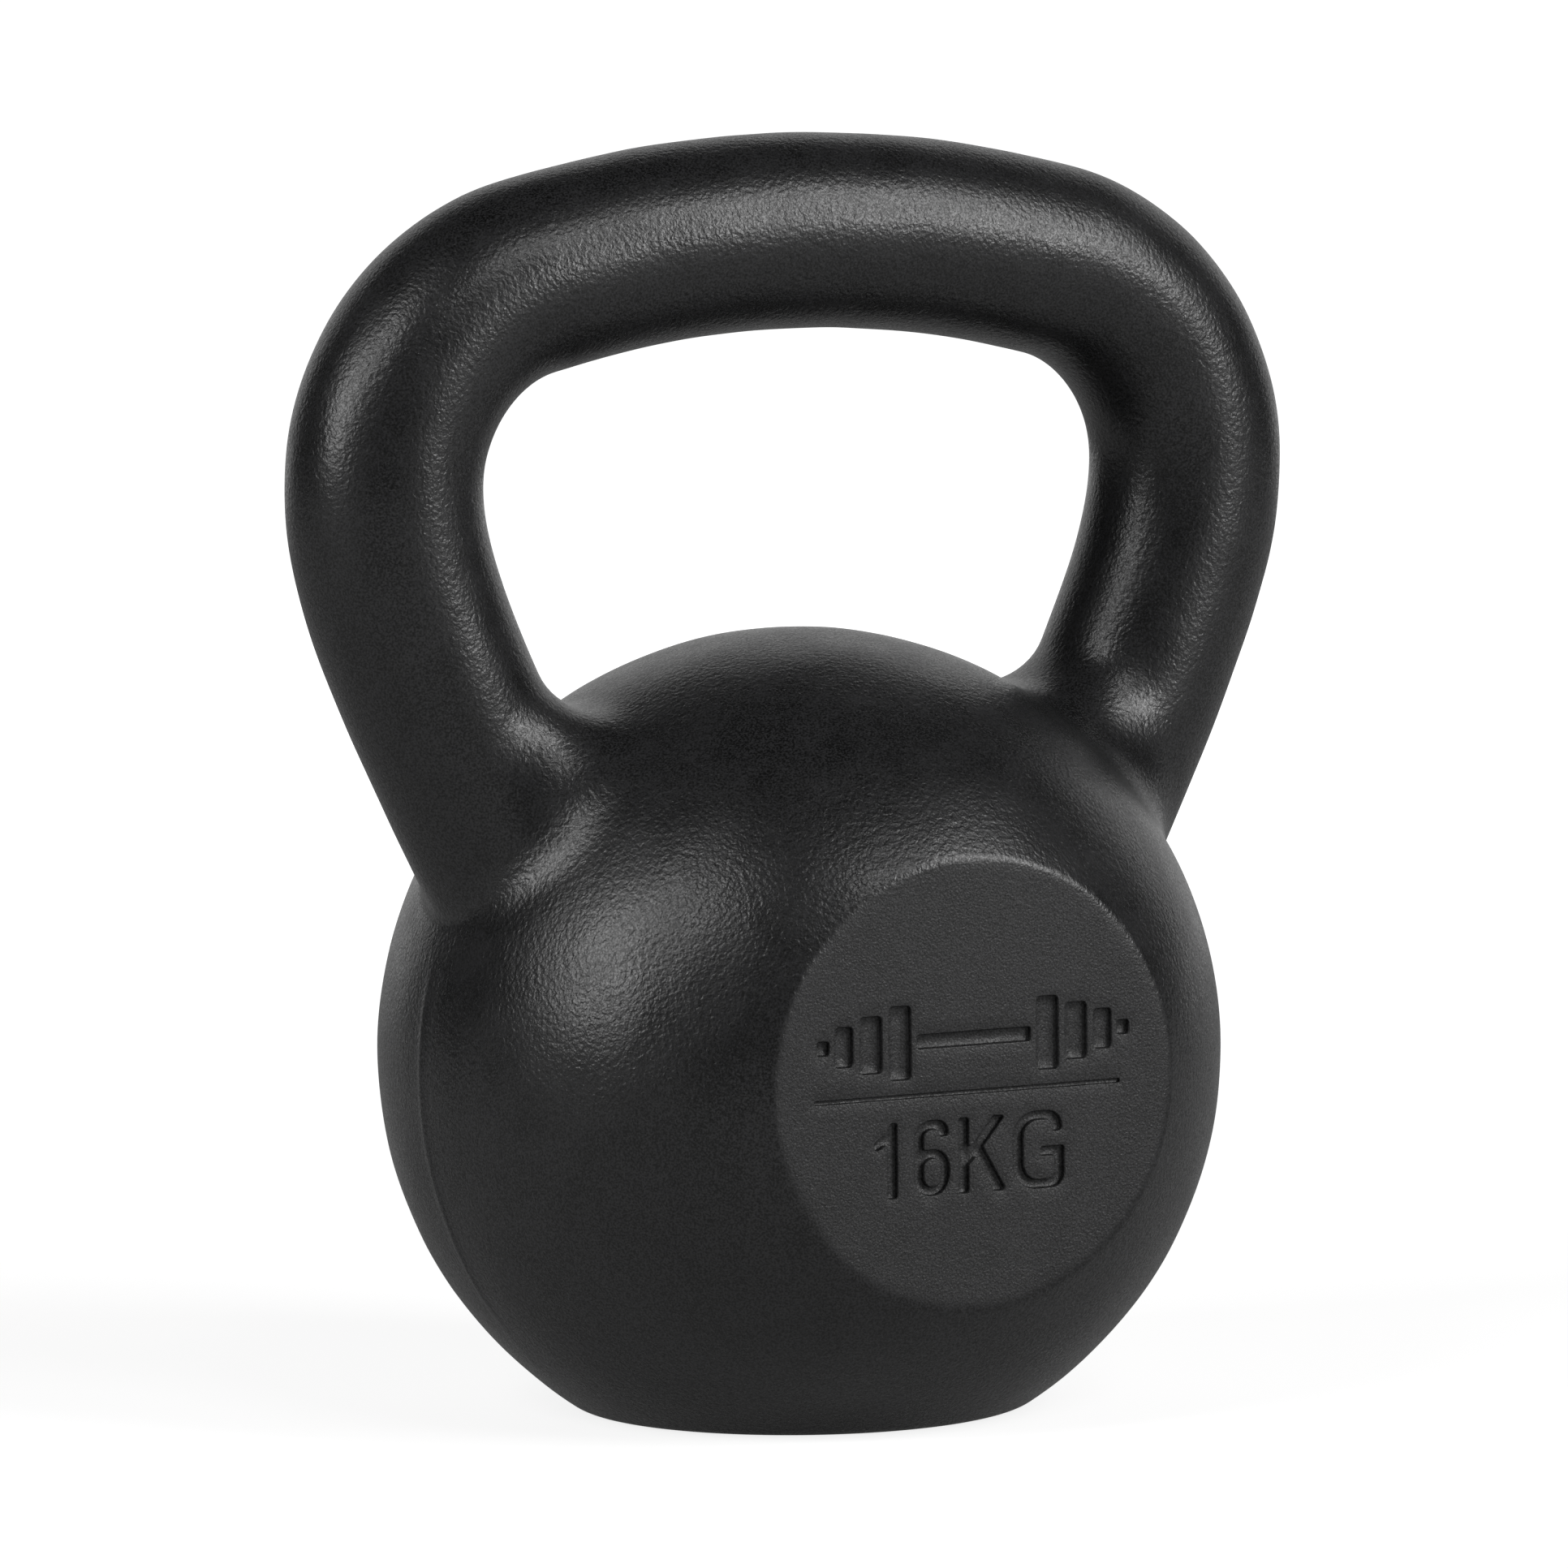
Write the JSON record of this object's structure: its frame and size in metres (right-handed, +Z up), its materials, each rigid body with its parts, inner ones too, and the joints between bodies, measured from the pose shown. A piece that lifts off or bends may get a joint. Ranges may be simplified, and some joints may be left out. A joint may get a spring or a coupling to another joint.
{
  "type": "kettlebell",
  "caption": "Cast-iron kettlebell: a round bell with a flat base, flat faces and a round loop handle, its weight trimmed through a plugged bore in the base.",
  "frame": {"origin": "centre of the flat base, on the floor", "axes": "+Z up, handle in the X-Z plane, marked flat face towards -Y"},
  "size_m": [0.2028, 0.1326, 0.2348],
  "materials": {
    "powder_coated_iron": "semi-gloss black powder coat with a fine orange-peel grain over cast iron",
    "bonded_shot": "dull grey iron shot bonded with resin",
    "coated_plug": "black powder coat over a turned steel disc"
  },
  "bodies": {
    "root": {"bell_casting": "powder_coated_iron", "trim_shot": "bonded_shot", "base_plug": "coated_plug"}
  },
  "joints": []
}
